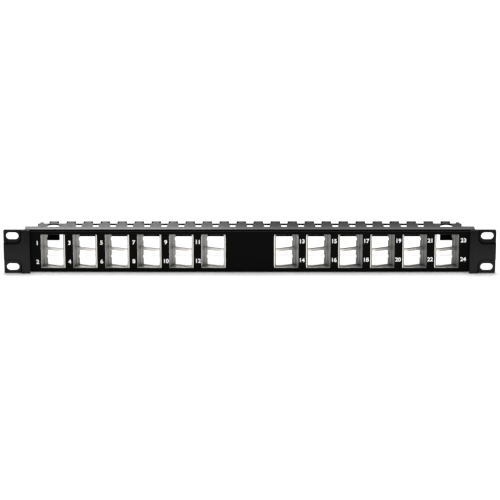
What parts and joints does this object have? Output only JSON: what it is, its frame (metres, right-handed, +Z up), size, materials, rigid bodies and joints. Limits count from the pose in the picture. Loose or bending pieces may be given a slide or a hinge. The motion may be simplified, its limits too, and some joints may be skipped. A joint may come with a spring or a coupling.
{
  "type": "rack patch panel",
  "caption": "One-unit rack patch panel with screened holders whose open ports are turned outwards, a plain middle, slotted ears, a cable-tie comb and a rear cable bar.",
  "frame": {"origin": "centre of the four rack slots, on the rear face of the ears", "axes": "+X to the right seen from the front, +Y to the rear, +Z up"},
  "size_m": [0.4826, 0.0642, 0.0445],
  "materials": {
    "black_steel": "satin black powder coat",
    "black_bezel": "fine matt moulding",
    "black_ear": "textured moulding",
    "nickel_casting": "satin nickel plate on a die casting",
    "zinc_steel": "bright zinc plate",
    "brass": "plain"
  },
  "bodies": {
    "panel": {"chassis": "black_steel", "bezel": "black_bezel", "ear_left": "black_ear", "ear_right": "black_ear", "cable_comb": "black_steel", "cable_bar": "black_steel", "ear_screws": "zinc_steel", "bar_screws": "zinc_steel", "push_nuts": "zinc_steel", "earth_stud": "zinc_steel", "earth_washer": "zinc_steel", "earth_nut": "brass"},
    "holder_01": {"port_holder_01": "nickel_casting"},
    "holder_02": {"port_holder_02": "nickel_casting"},
    "holder_03": {"port_holder_03": "nickel_casting"},
    "holder_04": {"port_holder_04": "nickel_casting"},
    "holder_05": {"port_holder_05": "nickel_casting"},
    "holder_06": {"port_holder_06": "nickel_casting"},
    "holder_07": {"port_holder_07": "nickel_casting"},
    "holder_08": {"port_holder_08": "nickel_casting"},
    "holder_09": {"port_holder_09": "nickel_casting"},
    "holder_10": {"port_holder_10": "nickel_casting"},
    "holder_11": {"port_holder_11": "nickel_casting"},
    "holder_12": {"port_holder_12": "nickel_casting"}
  },
  "joints": [
    {"name": "holder_01_pull", "type": "slide", "parent": "panel", "child": "holder_01", "axis": [0, -1, 0], "range_m": [0, 0.03]},
    {"name": "holder_02_pull", "type": "slide", "parent": "panel", "child": "holder_02", "axis": [0, -1, 0], "range_m": [0, 0.03]},
    {"name": "holder_03_pull", "type": "slide", "parent": "panel", "child": "holder_03", "axis": [0, -1, 0], "range_m": [0, 0.03]},
    {"name": "holder_04_pull", "type": "slide", "parent": "panel", "child": "holder_04", "axis": [0, -1, 0], "range_m": [0, 0.03]},
    {"name": "holder_05_pull", "type": "slide", "parent": "panel", "child": "holder_05", "axis": [0, -1, 0], "range_m": [0, 0.03]},
    {"name": "holder_06_pull", "type": "slide", "parent": "panel", "child": "holder_06", "axis": [0, -1, 0], "range_m": [0, 0.03]},
    {"name": "holder_07_pull", "type": "slide", "parent": "panel", "child": "holder_07", "axis": [0, -1, 0], "range_m": [0, 0.03]},
    {"name": "holder_08_pull", "type": "slide", "parent": "panel", "child": "holder_08", "axis": [0, -1, 0], "range_m": [0, 0.03]},
    {"name": "holder_09_pull", "type": "slide", "parent": "panel", "child": "holder_09", "axis": [0, -1, 0], "range_m": [0, 0.03]},
    {"name": "holder_10_pull", "type": "slide", "parent": "panel", "child": "holder_10", "axis": [0, -1, 0], "range_m": [0, 0.03]},
    {"name": "holder_11_pull", "type": "slide", "parent": "panel", "child": "holder_11", "axis": [0, -1, 0], "range_m": [0, 0.03]},
    {"name": "holder_12_pull", "type": "slide", "parent": "panel", "child": "holder_12", "axis": [0, -1, 0], "range_m": [0, 0.03]}
  ]
}
